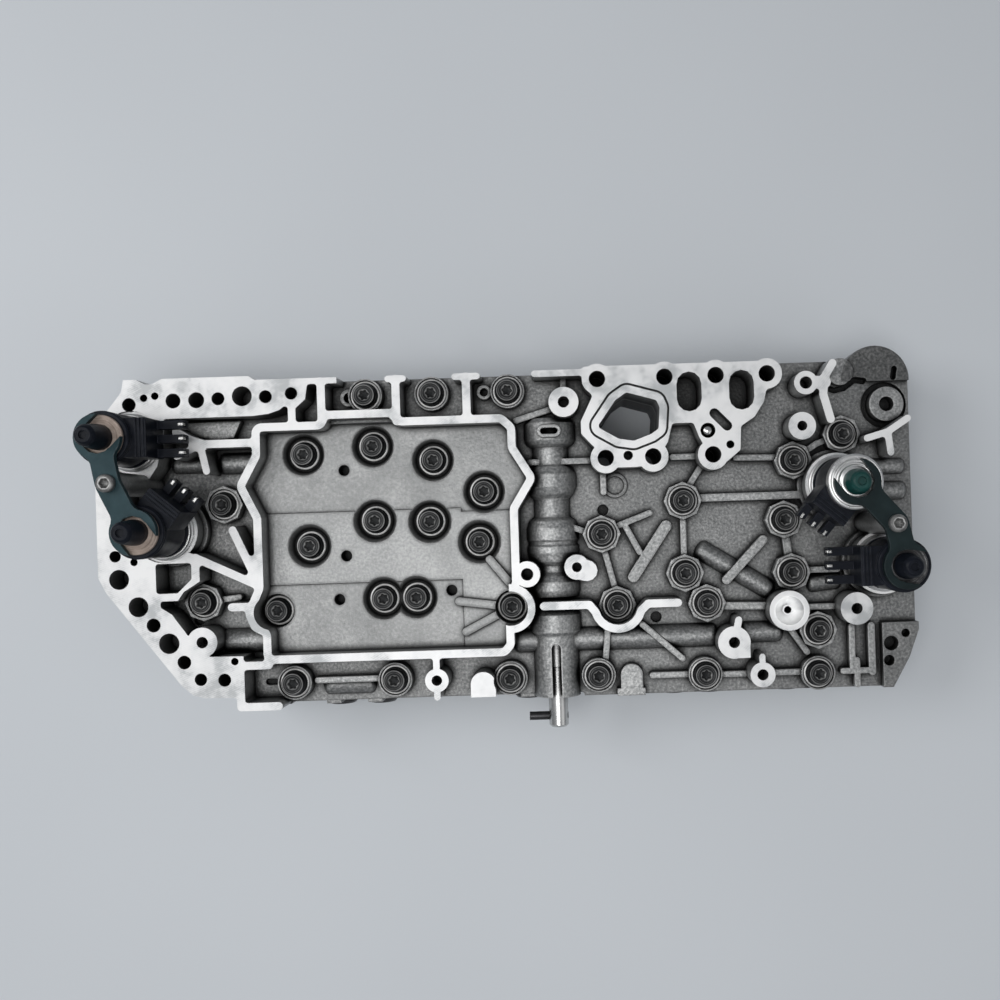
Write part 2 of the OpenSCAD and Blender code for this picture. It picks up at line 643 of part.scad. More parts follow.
// Bore of one valve line with its chambers, plug seat and pin hole
module valve_line_cut(x) {
    seat_r = plug_d / 2 + 0.05;
    turned_y(x, bore_z, [[0, valve_face_y - 1], [seat_r, valve_face_y - 1], [seat_r, plug_in_y],
        [bore_d / 2, plug_in_y], [bore_d / 2, bore_end_y], [0, bore_end_y]]);
    for (y = chamber_y) {
        turned_y(x, bore_z, [[0, y - chamber_w / 2], [chamber_d / 2, y - chamber_w / 2],
            [chamber_d / 2, y + chamber_w / 2], [0, y + chamber_w / 2]]);
        rod([x, y], port_d, bore_z, lower_h + 1);
    }
    rod([x, plug_pin_y], plug_pin_d + 0.1, plug_pin_low, lower_h + 1);
}

// Hollows between the rims of the lower casting, broken by pillars, plug bosses and webs
module side_hollows() {
    layer(rim_h, lower_h - rim_h) difference() {
        base_plan();
        offset(delta = -edge_step - side_hollow) base_plan();
        for (p = edge_at) dot(p, pillar_d);
        for (p = flange_holes) dot(p, flange_boss_d);
        for (x = valve_x) translate([x - plug_boss_d / 2, valve_face_y]) square([plug_boss_d, plug_boss_l]);
        for (x = web_x) translate([x - rib_w / 2, valve_face_y]) square([rib_w, 2 * base_reach]);
        for (y = web_y) translate([-base_reach, y - rib_w / 2]) square([2 * base_reach, rib_w]);
    }
}

module lower_housing() {
    color("darkgray") difference() {
        union() {
            layer(0, lower_h) offset(delta = -edge_step) base_plan();
            for (x = valve_x) turned_y(x, bore_z, [[0, valve_face_y], [plug_boss_d / 2, valve_face_y],
                [plug_boss_d / 2, valve_face_y + plug_boss_l], [0, valve_face_y + plug_boss_l]]);
            for (x = valve_x) translate([x - plug_pin_d, valve_face_y, bore_z])
                cube([2 * plug_pin_d, plug_boss_l, lower_h - bore_z]);
        }
        for (p = screw_at) rod(p, 2 * tap_r, thread_z, lower_h + 1);
        for (p = flange_holes) rod(p, flange_hole_d, -1, lower_h + 1);
        for (x = valve_x) valve_line_cut(x);
        for (p = ball_at) rod(p, ball_d + 2 * ball_room, lower_h - ball_d - ball_room, lower_h + 1);
        layer(-1, lower_h + 1) port_plan();
        side_hollows();
    }
}

// Six-lobed drive recess of a screw
module drive(d, depth) {
    layer(-depth, 1) polygon([for (i = [0:23]) (d / 2) * (1 + (i % 4 == 0 ? 0.12 : i % 4 == 2 ? -0.16 : 0))
        * [cos(15 * i), sin(15 * i)]]);
}

// Flange-head screw whose flange sits at height z
module bolt(p, z) {
    translate([p[0], p[1], z]) difference() {
        union() {
            cylinder(d = flange_d, h = flange_t, $fn = 48);
            translate([0, 0, flange_t]) cylinder(d = head_d, h = head_h - 0.6, $fn = 48);
            translate([0, 0, flange_t + head_h - 0.6])
                cylinder(d1 = head_d, d2 = head_d - 1.2, h = 0.6, $fn = 48);
            translate([0, 0, thread_z - z + 0.5]) cylinder(d = bolt_d, h = z - thread_z - 0.5, $fn = 40);
        }
        translate([0, 0, flange_t + head_h]) drive(5, drive_depth);
    }
}

module pocket_bolts() {
    color("dimgray") for (p = pocket_at) bolt(p, pan_seat_z);
}

module deck_bolts() {
    color("dimgray") for (p = deck_at) bolt(p, rib_z);
}

module edge_bolts() {
    color("dimgray") for (p = edge_at) bolt(p, rib_z);
}

module manual_valve() {
    land = manual_d / 2;
    rod_end = barrel_y - rod_out;
    color("silver") difference() {
        turned_y(barrel_x, barrel_z, [[0, rod_end], [rod_d / 2 - 0.8, rod_end], [rod_d / 2, rod_end + 0.8],
            [rod_d / 2, barrel_y + 12], [land, barrel_y + 12], [land, -40], [3, -40], [3, -26], [land, -26],
            [land, -12], [3, -12], [3, 8], [land, 8], [land, manual_end_y - 1], [land - 1, manual_end_y],
            [0, manual_end_y]]);
        translate([barrel_x - rod_d, cross_pin_y, barrel_z]) rotate([0, 90, 0])
            cylinder(d = pin_shank_d, h = 2 * rod_d, $fn = 40);
    }
}

module manual_valve_pin() {
    pin_x = barrel_x - rod_d / 2 - cross_pin_out;
    color("black") translate([pin_x, cross_pin_y, barrel_z]) rotate([0, 90, 0]) {
        cylinder(d = cross_pin_d, h = cross_pin_out, $fn = 40);
        cylinder(d = pin_shank_d, h = cross_pin_out + rod_d, $fn = 40);
    }
}

module spool(i) {
    land = spool_d / 2;
    neck = land - 2.5;
    end_y = spool_y + spool_l;
    color("gainsboro") turned_y(valve_x[i], bore_z, [[0, spool_y], [land - 0.5, spool_y],
        [land, spool_y + 0.5], [land, -26], [neck, -26], [neck, -10], [land, -10], [land, 2], [neck, 2],
        [neck, 10], [land, 10],
        [land, end_y - 4], [neck, end_y - 4], [neck, end_y], [0, end_y]]);
}

// Helical return spring between the plug and the spool
module spring(i) {
    turns = 6;
    steps = 10;
    sides = 5;
    wire = wire_d / 2;
    radius = spool_d / 2 - wire - 0.9;
    first = plug_in_y + wire + 0.05;
    pitch = (spring_l - 2 * wire - 0.1) / turns;
    count = turns * steps;
    rings = [for (s = [0:count], k = [0:sides - 1])
        let (a = 360 * s / steps, b = 360 * k / sides, r = radius + wire * cos(b))
        [r * cos(a), first + pitch * s / steps + wire * sin(b), r * sin(a)]];
    walls = [for (s = [0:count - 1], k = [0:sides - 1])
        let (j = (k + 1) % sides) [s * sides + k, s * sides + j, (s + 1) * sides + j, (s + 1) * sides + k]];
    lids = [[for (k = [sides - 1:-1:0]) k], [for (k = [0:sides - 1]) count * sides + k]];
    color("slategray") translate([valve_x[i], 0, bore_z]) polyhedron(rings, concat(walls, lids));
}

module plug(i) {
    r = plug_d / 2;
    face = valve_face_y - plug_out;
    stem = spool_d / 2 - wire_d - 1.5;
    color("dimgray") difference() {
        turned_y(valve_x[i], bore_z, [[0, face + 1], [r - 3, face + 1], [r - 3, face], [r - 1, face],
            [r, face + 1], [r, plug_in_y], [stem, plug_in_y], [stem, stem_end_y], [0, stem_end_y]]);
        rod([valve_x[i], plug_pin_y], plug_pin_d + 0.1, 0, lower_h);
    }
}

module plug_pins() {
    color("silver") for (x = valve_x) rod([x, plug_pin_y], plug_pin_d, plug_pin_low, lower_h - 0.5);
}

// Steel sleeve of a solenoid, with two seal grooves
module sleeve(i) {
    r = sleeve_d / 2;
    low = split_z + 2.2;
    groove = r - 1.5;
    foot = [[0, low], [r - 1, low], [r, low + 1]];
    grooves = [for (z = seal_z) each [[r, z - 0.9], [groove, z - 0.9], [groove, z + 0.9], [r, z + 0.9]]];
    color("silver") translate(sol_at[i]) rotate_extrude($fn = 48)
        polygon(concat(foot, grooves, [[r, seat_z], [0, seat_z]]));
}

module solenoid_seals() {
    color("black") for (p = sol_at, z = seal_z) translate([p[0], p[1], z]) rotate_extrude($fn = 48)
        translate([seal_out_r - seal_wire / 2, 0]) circle(d = seal_wire - 0.05, $fn = 16);
}

// Moulded coil with ribbed connector block and fingers
module coil(i) {
    r = coil_d / 2;
    color([0.08, 0.08, 0.09]) translate(sol_at[i]) difference() {
        union() {
            rotate_extrude($fn = 48) polygon([[0, seat_z], [r, seat_z], [r, seat_z + 4],
                [r - 1.2, seat_z + 5], [r - 1.2, seat_z + 6], [r, seat_z + 7], [r, coil_z - 2.4],
                [r - 0.7, coil_z - 2.1], [r - 0.7, coil_z - 1.3], [r, coil_z - 1], [r, coil_z - 0.5],
                [r - 0.5, coil_z], [0, coil_z]]);
            rotate(sol_turn[i]) {
                translate([0, -plug_w / 2, plug_low]) cube([plug_reach, plug_w, plug_high - plug_low]);
                for (y = finger_y) translate([plug_reach - 1, y - finger_w / 2, plug_low])
                    cube([finger_at[i] + 1, finger_w, 6]);
                for (k = [1:3]) translate([plug_reach - 1.4 * k, -plug_w / 2, plug_high - 1])
                    cube([0.7, plug_w, 1.5]);
            }
        }
        rotate(sol_turn[i]) for (y = finger_y) translate([plug_reach - 6, y - 0.9, plug_low + 2])
            cube([finger_at[i] + 8, 1.8, blade_h + 0.2]);
    }
}

// Brass blades in the connector's fingers
module terminals(i) {
    color("goldenrod") translate(sol_at[i]) rotate(sol_turn[i]) for (y = finger_y)
        translate([plug_reach - 5.8, y - 0.4, plug_low + 2]) cube([finger_at[i] + 3, 0.8, blade_h]);
}

module disc(i) {
    color("tan") translate([sol_at[i][0], sol_at[i][1], coil_z]) cylinder(d = disc_d, h = disc_t, $fn = 48);
}

module nose(i) {
    r = nose_d / 2;
    h = nose_at[i];
    color(i == 2 ? "darkslategray" : "black") translate([sol_at[i][0], sol_at[i][1], coil_z + disc_t])
        rotate_extrude($fn = 48) polygon([[0, 0], [r, 0], [r, 3], [r - 0.9, h - 1.4], [r - 1.6, h - 0.4],
            [r - 2.2, h], [1.6, h], [1.6, h - 1], [0, h - 1]]);
}

// Dog-bone plate that holds two solenoids down, with a fork round each nose
module bracket(k) {
    pair = post_pairs[k];
    top = bracket_z + bracket_t;
    difference() {
        layer(bracket_z, top) difference() {
            filleted(4) {
                for (i = pair) dot(sol_at[i], disc_d + 0.6);
                path([sol_at[pair[0]], post_at[k], sol_at[pair[1]]], neck_w);
            }
            for (i = pair)
                path([sol_at[i], sol_at[i] + disc_d * [cos(fork_turn[i]), sin(fork_turn[i])]], fork_w);
        }
        rod(post_at[k], bscrew_d + 0.4, bracket_z - 1, top + 1);
    }
}

module left_bracket() {
    color("slategray") bracket(0);
}

module right_bracket() {
    color("darkslategray") bracket(1);
}

module bracket_screws() {
    color("dimgray") for (p = post_at) translate([p[0], p[1], bracket_z + bracket_t]) difference() {
        union() {
            cylinder(d = bscrew_head_d, h = 2.6, $fn = 48);
            translate([0, 0, -12 - bracket_t]) cylinder(d = bscrew_d, h = 12 + bracket_t, $fn = 40);
        }
        translate([0, 0, 2.6]) drive(3.4, 1.6);
    }
}

module check_balls() {
    color("silver") for (p = ball_at) translate([p[0], p[1], lower_h - ball_room - ball_d / 2 + 0.02])
        sphere(d = ball_d, $fn = 48);
}

module seal_ball() {
    color("silver") translate([seal_ball_at[0], seal_ball_at[1], top_z - 6 + seal_ball_d / 2 + 0.02])
        sphere(d = seal_ball_d, $fn = 48);
}

lower_housing();
separator_plate();
upper_housing();
pocket_bolts();
deck_bolts();
edge_bolts();
manual_valve();
manual_valve_pin();
for (i = [0:6]) spool(i);
for (i = [0:6]) spring(i);
for (i = [0:6]) plug(i);
plug_pins();
for (i = [0:3]) sleeve(i);
for (i = [0:3]) coil(i);
for (i = [0:3]) disc(i);
for (i = [0:3]) nose(i);
for (i = [0:3]) terminals(i);
solenoid_seals();
left_bracket();
right_bracket();
bracket_screws();
check_balls();
seal_ball();
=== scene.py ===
import math

import bmesh
import bpy
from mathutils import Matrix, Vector


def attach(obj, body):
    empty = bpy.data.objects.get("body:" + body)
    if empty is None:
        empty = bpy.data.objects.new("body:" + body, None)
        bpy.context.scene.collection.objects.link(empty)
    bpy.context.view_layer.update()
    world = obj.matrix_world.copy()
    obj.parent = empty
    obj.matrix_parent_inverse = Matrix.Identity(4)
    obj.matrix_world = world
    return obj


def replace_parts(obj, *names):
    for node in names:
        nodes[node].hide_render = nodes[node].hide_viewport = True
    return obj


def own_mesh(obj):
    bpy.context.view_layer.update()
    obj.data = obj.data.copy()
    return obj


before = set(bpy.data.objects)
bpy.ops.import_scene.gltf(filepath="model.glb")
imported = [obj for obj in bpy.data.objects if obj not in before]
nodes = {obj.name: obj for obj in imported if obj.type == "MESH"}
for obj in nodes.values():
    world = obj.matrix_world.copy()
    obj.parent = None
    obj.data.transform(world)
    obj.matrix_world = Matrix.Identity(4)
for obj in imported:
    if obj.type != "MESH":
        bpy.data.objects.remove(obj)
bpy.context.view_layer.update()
MM = 0.001
VALVES = range(1, 8)
COILS = range(1, 5)

# Heights and places on the castings, in millimetres
UPPER_MILLED = [(53.8, 55.0), (51.9, 52.1)]
LOWER_MILLED = [(-0.1, 0.1)]
BASE_TOP = 31.5
DECK_LOW, DECK_HIGH = 40.2, 46.0
WELL_TOP = 39.2
PAN_MID_X, PAN_HALF_X, PAN_HALF_Y = -46.5, 57.0, 48.5
PAN_FLOOR = (40.0, 47.5)
PAN_STEPS = (40.6, 44.4)
CUP_X, CUP_Y, CUP_R, CUP_BOTTOM = 113.0, -36.0, 6.2, 49.9
PAD_X, PAD_Y, PAD_R, PAD_CUT_Y = 153.5, 56.7, 14.1, 56.1
LOW_PAD_X, LOW_PAD_Y = 149.5, -39.5
SWIRL_AT = (0.31, -0.42, 0.0)

# Screw places in the pan, on the deck and along the edges
POCKET = [(-82, 33.5), (-53.5, 36), (-29, 29.5), (-8.5, 16), (-53.5, 5.5), (-31, 4.5), (-80.5, -4),
          (-11, -4.5), (-94.5, -30), (-51, -26.5), (-37.5, -26.5), (1.5, -31.5)]
DECK = [(39, -3), (44.5, -32), (72.5, -20), (81, -32.5), (72.5, 9.5), (113.5, 0.5), (116, -21), (126, -45),
        (118, 24.5), (138, 34.5), (-124, -25.5), (-114.5, 14)]
EDGE = [(-88, -59.5), (-47, -59.5), (0, -60.5), (36, -60.5), (79.5, -61.5), (125.5, -62.5), (-55.5, 56.5),
        (-28.5, 56.5), (2.5, 56.5)]
POCKET_SEAT, DECK_SEAT, SCREW_TIP = 40.5, 44.5, 22.5
BRACKET_SCREWS = [(-145, 22.5), (148, -2)]
BRACKET_TOP, BRACKET_SCREW_LONG = 84.0, 14.5

# Shanks as (radius, radius at the tip, length of the chamfer)
LARGE_SHANK, SMALL_SHANK = (3.0, 2.3, 0.7), (2.5, 1.9, 0.6)

# Solenoids as (x, y, turn of the connector in degrees, length of its fingers)
SOLENOIDS = [(-148.3, 39.9, 0, 10.0), (-136.1, 3.9, 50, 5.5), (134, 14, -130, 5.5), (151.5, -18, 180, 10.0)]
FINGER_ROOT, FINGER_PITCH, FINGER_TOP = 15.5, 5.5, 66.0
TAB_WIDE, TAB_LONG, TAB_DROP = 1.0, 1.7, 2.0
TAB_UNDER, TAB_OVER = 0.02, 0.3
TAB_NEAR, TAB_BEND, TAB_FAR, TAB_ROUND = 0.05, 0.1, 0.32, 0.2

# Return springs behind the spools
VALVE_X = [-76, -58.5, 6, 51, 69, 84.5, 118]
VALVE_Z, SPRING_Y = 12.5, -62.45
SPRING_LONG, SPRING_SHORT = 21.9, 16.9
SPRING_R, SPRING_WIRE, SPRING_TURNS = 4.0, 1.2, 6

# Tapped bosses as (x, y, bore)
TAPPED = [(-122.3, -41, 4.6), (8.5, -18, 5), (25.3, 50.5, 4.6), (28.5, -15.8, 4), (90.5, -48, 4.5),
          (140, -36, 4.5), (101.5, -61.3, 4.5), (120.5, 37.8, 4), (-29, -59.3, 4.2), (122.5, 55, 5)]
BOSS_LIP, FIRST_TURN, PITCH, THREAD_TURNS = 53.9, 53.2, 0.8, 11
THREAD_FIT, THREAD_DEEP, THREAD_WALL = 0.02, 0.32, 0.3


class Graph:
    """A procedural material and short calls that add nodes to it."""

    def __init__(self, name):
        self.mat = bpy.data.materials.new(name)
        self.mat.use_nodes = True
        self.tree = self.mat.node_tree
        self.bsdf = self.tree.nodes["Principled BSDF"]
        self.obj = self.add("ShaderNodeTexCoord").outputs["Object"]
        self.surface = self.add("ShaderNodeNewGeometry").outputs

    def add(self, kind, **props):
        n = self.tree.nodes.new(kind)
        for key, value in props.items():
            setattr(n, key, value)
        return n

    def put(self, socket, value):
        if hasattr(value, "is_linked"):
            self.tree.links.new(value, socket)
        else:
            socket.default_value = value

    def set(self, **values):
        for key, value in values.items():
            self.put(self.bsdf.inputs[key.replace("_", " ")], value)

    def math(self, op, a, b=0.0):
        n = self.add("ShaderNodeMath", operation=op)
        for socket, value in zip(n.inputs, (a, b)):
            self.put(socket, value)
        return n.outputs[0]

    def times(self, first, *others):
        for other in others:
            first = self.math("MULTIPLY", first, other)
        return first

    def plus(self, a, b):
        return self.math("ADD", a, b)

    def above(self, value, limit):
        return self.math("GREATER_THAN", value, limit)

    def below(self, value, limit):
        return self.math("LESS_THAN", value, limit)

    def blend(self, a, share_a, b, share_b):
        return self.plus(self.times(a, share_a), self.times(b, share_b))

    def noise(self, scale, detail=3.0, rough=0.55):
        n = self.add("ShaderNodeTexNoise")
        self.put(n.inputs["Vector"], self.obj)
        n.inputs["Scale"].default_value = scale
        n.inputs["Detail"].default_value = detail
        n.inputs["Roughness"].default_value = rough
        return n.outputs["Fac"]

    def wave(self, vector, scale, distortion=0.0, detail=2.0, **props):
        n = self.add("ShaderNodeTexWave", **props)
        self.put(n.inputs["Vector"], vector)
        n.inputs["Scale"].default_value = scale
        n.inputs["Distortion"].default_value = distortion
        n.inputs["Detail"].default_value = detail
        return n.outputs["Fac"]

    def ramp(self, fac, *stops):
        n = self.add("ShaderNodeValToRGB")
        self.put(n.inputs[0], fac)
        els = n.color_ramp.elements
        while len(els) < len(stops):
            els.new(0.5)
        for el, (pos, val) in zip(els, stops):
            el.position = pos
            el.color = (*val, 1.0) if isinstance(val, tuple) else (val, val, val, 1.0)
        return n.outputs[0]

    def span(self, value, a, b, lo=0.0, hi=1.0):
        n = self.add("ShaderNodeMapRange")
        for socket, v in zip(n.inputs, (value, a, b, lo, hi)):
            self.put(socket, v)
        return n.outputs[0]

    def mix(self, fac, a, b, blend="MIX"):
        n = self.add("ShaderNodeMix", data_type="RGBA", blend_type=blend)
        for socket, value in zip((n.inputs[0], n.inputs[6], n.inputs[7]), (fac, a, b)):
            if isinstance(value, tuple) and len(value) == 3:
                value = (*value, 1.0)
            self.put(socket, value)
        return n.outputs[2]

    def mix_vector(self, fac, a, b):
        n = self.add("ShaderNodeMix", data_type="VECTOR")
        for socket, value in zip((n.inputs[0], n.inputs[4], n.inputs[5]), (fac, a, b)):
            self.put(socket, value)
        return n.outputs[1]

    def grey(self, value):
        n = self.add("ShaderNodeCombineColor")
        for socket in n.inputs[:3]:
            self.put(socket, value)
        return n.outputs[0]

    def axis(self, vector, index):
        n = self.add("ShaderNodeSeparateXYZ")
        self.put(n.inputs[0], vector)
        return n.outputs[index]

    def shifted(self, vector, by):
        n = self.add("ShaderNodeVectorMath", operation="ADD")
        self.put(n.inputs[0], vector)
        n.inputs[1].default_value = by
        return n.outputs[0]

    def bump(self, height, strength, distance, normal=None):
        n = self.add("ShaderNodeBump")
        n.inputs["Strength"].default_value = strength
        n.inputs["Distance"].default_value = distance
        self.put(n.inputs["Height"], height)
        if normal is not None:
            self.put(n.inputs["Normal"], normal)
        return n.outputs[0]

    def bevel(self, radius, samples=4):
        n = self.add("ShaderNodeBevel", samples=samples)
        self.put(n.inputs["Radius"], radius)
        return n.outputs[0]

    def hollow(self, distance, samples=6):
        """1 in the open, less in corners and hollows that are about as wide as the distance."""
        n = self.add("ShaderNodeAmbientOcclusion", samples=samples)
        n.inputs["Distance"].default_value = distance
        return n.outputs["AO"]

    def away(self, x, y):
        """Distance in plan from an upright axis at a place in millimetres."""
        across = self.math("SUBTRACT", self.axis(self.obj, 0), x * MM)
        along = self.math("SUBTRACT", self.axis(self.obj, 1), y * MM)
        return self.math("SQRT", self.plus(self.times(across, across), self.times(along, along)))

    def edge(self, bevel):
        """1 on the rounded edges, 0 on the faces."""
        n = self.add("ShaderNodeVectorMath", operation="DOT_PRODUCT")
        self.put(n.inputs[0], bevel)
        self.put(n.inputs[1], self.surface["True Normal"])
        return self.span(n.outputs["Value"], 0.99, 0.86)


# Castings
def level(g):
    """How far a face looks straight up or down: 1 when it does, 0 on an upright wall."""
    return g.math("ABSOLUTE", g.axis(g.surface["True Normal"], 2))


def turned_cup(g, z):
    return g.times(g.below(g.away(CUP_X, CUP_Y), CUP_R * MM), g.above(z, CUP_BOTTOM * MM))


def machined(g, z, levels, cup):
    """1 on the level faces at the given heights (low, high) and in the turned cup."""
    flat = g.above(level(g), 0.9)
    milled = cup
    for low, high in levels:
        face = g.times(g.above(z, low * MM), g.below(z, high * MM), flat)
        milled = g.math("MAXIMUM", milled, face)
    return milled


def pan_floor(g, z):
    x, y = g.axis(g.obj, 0), g.axis(g.obj, 1)
    in_x = g.below(g.math("ABSOLUTE", g.math("SUBTRACT", x, PAN_MID_X * MM)), PAN_HALF_X * MM)
    in_y = g.below(g.math("ABSOLUTE", y), PAN_HALF_Y * MM)
    return g.times(in_x, in_y, g.above(z, PAN_FLOOR[0] * MM), g.below(z, PAN_FLOOR[1] * MM))


def darker_corner_pads(g, z):
    """The pads in the two right-hand corners, coloured darker than the deck."""
    x, y = g.axis(g.obj, 0), g.axis(g.obj, 1)
    on_deck = g.above(z, PAN_FLOOR[0] * MM)
    upper = g.times(g.below(g.away(PAD_X, PAD_Y), PAD_R * MM), g.above(y, PAD_CUT_Y * MM), on_deck)
    lower = g.times(g.above(x, LOW_PAD_X * MM), g.below(y, LOW_PAD_Y * MM), on_deck)
    return g.math("MAXIMUM", upper, g.times(lower, 0.8))


def painted_shade_and_light(g, z, in_pan):
    """Painted shade in corners, round the screws and in deep wells; painted light by height, darker low on
    the deck and in the pan, lighter on rib tops; darker corner pads.
    """
    crease = g.span(g.hollow(0.0030, 10), 0.54, 0.96, 0.06, 1.0)
    halo = g.span(g.hollow(0.0070), 0.20, 0.74, 0.22, 1.0)
    open_sky = g.hollow(0.024)
    well = g.math("MAXIMUM", g.span(open_sky, 0.10, 0.55, 0.10, 1.0), g.above(z, WELL_TOP * MM))
    depth = g.times(g.span(open_sky, 0.03, 0.32, 0.46, 1.0), well)
    # Painted highlight on high faces and painted shade on low ones
    deck = g.span(z, DECK_LOW * MM, DECK_HIGH * MM, 0.68, 1.22)
    deck = g.math("MAXIMUM", deck, g.below(z, BASE_TOP * MM))
    pan = g.span(z, PAN_STEPS[0] * MM, PAN_STEPS[1] * MM, 0.14, 1.06)
    height_light = g.plus(deck, g.times(in_pan, g.math("SUBTRACT", pan, deck)))
    return g.times(crease, depth, g.times(halo, height_light), g.span(darker_corner_pads(g, z), 0.0, 1.0, 1.0, 0.46))


def cast_skin(g, z, in_pan, grain, edge):
    calm = g.math("MAXIMUM", in_pan, g.math("SUBTRACT", 1.0, level(g)))
    fine = g.mix(calm, grain, g.span(grain, 0.0, 1.0, 0.28, 0.72))
    skin = g.blend(g.noise(48.0, 4.0), 0.24, fine, 0.76)
    tone = g.ramp(skin, (0.34, (0.15, 0.154, 0.154)), (0.5, (0.275, 0.279, 0.277)),
                  (0.66, (0.49, 0.49, 0.485)))
    # Lighter edges: partly worn metal, partly a painted highlight on the rounded edges
    worn_and_highlit = g.mix(g.times(edge, 0.62), tone, (0.72, 0.72, 0.71))
    # Multiplied by painted shade in hollows and painted light by height
    return g.mix(1.0, worn_and_highlit, g.grey(painted_shade_and_light(g, z, in_pan)), "MULTIPLY")


def casting(name, levels):
    """Die-cast aluminium, milled bright on the faces at the given heights."""
    g = Graph(name)
    z = g.axis(g.obj, 2)
    cup = turned_cup(g, z)
    milled = machined(g, z, levels, cup)
    in_pan = pan_floor(g, z)
    round_normal = g.bevel(g.span(in_pan, 0.0, 1.0, 0.0009, 0.0020))
    grain = g.noise(900.0, 3.0, 0.6)
    cast = cast_skin(g, z, in_pan, grain, g.edge(round_normal))

    swirl = g.wave(g.shifted(g.obj, SWIRL_AT), 420.0, 3.0, 3.0, wave_type="RINGS", rings_direction="Z")
    cut = g.ramp(g.blend(swirl, 0.04, g.noise(62.0, 5.0, 0.62), 0.96),
                 (0.38, (0.46, 0.475, 0.48)), (0.48, (0.74, 0.745, 0.745)), (0.60, (0.84, 0.84, 0.835)))
    gloss = g.math("SUBTRACT", g.times(grain, 0.25), g.times(milled, 0.12))
    g.set(Base_Color=g.mix(milled, cast, cut),
          Metallic=g.math("MAXIMUM", g.span(milled, 0.0, 1.0, 0.66, 0.15), g.times(cup, 0.95)),
          Roughness=g.span(gloss, -0.12, 0.25, 0.32, 0.52))

    pits = g.times(g.plus(grain, g.times(g.noise(420.0, 2.0), 0.6)), g.span(milled, 0.0, 1.0, 1.0, 0.04))
    relief = g.plus(pits, g.times(swirl, milled, 0.02))
    facing = g.mix_vector(milled, round_normal, g.surface["Normal"])
    g.set(Normal=g.bump(relief, 0.55, 0.00028, facing))
    return g.mat


# Other finishes
def painted(name, dark, light, rough, metal=0.0, scale=260.0, relief=0.12, edge_tone=None, gloss=0.5):
    """A tone that drifts between two colours, with a fine skin and softened edges, lightened in patches
    towards edge_tone when one is given.
    """
    g = Graph(name)
    tone = g.ramp(g.blend(g.noise(scale, 4.0), 0.6, g.noise(40.0), 0.4), (0.34, dark), (0.66, light))
    normal = g.bevel(0.0005)
    if edge_tone is not None:
        tone = g.mix(g.times(g.edge(normal), g.span(g.noise(300.0), 0.35, 0.6)), tone, edge_tone)
    g.bsdf.inputs["Specular IOR Level"].default_value = gloss
    g.set(Base_Color=tone, Metallic=metal,
          Roughness=g.span(g.noise(180.0, 3.0), 0.3, 0.7, rough - 0.07, rough + 0.07),
          Normal=g.bump(g.noise(2600.0, 2.0), relief, 0.0001, normal))
    return g.mat


# How bright a screw head is coloured, by its radius in centimetres: worn metal at the flange edge, painted
# highlights on the head rings and at the recess rim
RUB_AND_GLINT_RINGS = [(0.0, 0.0), (0.17, 0.02), (0.19, 0.10), (0.20, 0.42), (0.215, 0.50), (0.235, 0.03),
                (0.30, 0.01), (0.325, 0.12), (0.345, 0.01), (0.37, 0.02), (0.39, 0.20), (0.42, 0.16),
                (0.435, 0.0), (0.525, 0.0), (0.545, 0.9), (0.60, 1.0)]


def screw_steel(name, low, high):
    """Phosphated screw: dark head, rings left by turning, a bright worn flange edge, and painted highlights
    on the head rings and round the recess.
    """
    g = Graph(name)
    uv = g.add("ShaderNodeUVMap", uv_map="turned").outputs[0]
    radius, seen = g.axis(uv, 0), g.axis(uv, 1)
    dark = g.ramp(g.noise(500.0, 4.0), (0.35, low), (0.65, high))
    patchy = g.times(g.span(g.noise(220.0, 3.0), 0.25, 0.6, 0.55, 1.0), seen)
    # Worn flange edge plus painted highlights on the head
    rub_and_glint = g.times(g.ramp(radius, *RUB_AND_GLINT_RINGS), patchy)
    turning = g.wave(uv, 34.0, wave_type="BANDS", bands_direction="X")
    g.bsdf.inputs["Specular IOR Level"].default_value = 0.25
    g.set(Base_Color=g.mix(rub_and_glint, dark, (0.82, 0.815, 0.80)),
          Metallic=g.span(rub_and_glint, 0.0, 1.0, 0.55, 0.20),
          Roughness=g.span(rub_and_glint, 0.0, 1.0, 0.46, 0.32),
          Normal=g.bump(g.plus(g.times(turning, 0.4), g.noise(1800.0)), 0.16, 0.00012))
    return g.mat


def turned_steel(name, tone, rough):
    """Ground and polished steel with faint marks round the Y axis."""
    g = Graph(name)
    marks = g.wave(g.obj, 900.0, 2.0, wave_type="BANDS", bands_direction="Y")
    smear = g.noise(90.0, 4.0)
    low = tuple(c * 0.78 for c in tone)
    shade = g.span(g.hollow(0.010), 0.25, 0.85, 0.06, 1.0)
    g.set(Base_Color=g.mix(shade, (0.03, 0.03, 0.032), g.ramp(smear, (0.35, low), (0.65, tone))),
          Metallic=1.0,
          Roughness=g.span(smear, 0.3, 0.7, rough - 0.06, rough + 0.08),
          Normal=g.bump(marks, 0.06, 0.00004, g.bevel(0.0003)))
    return g.mat


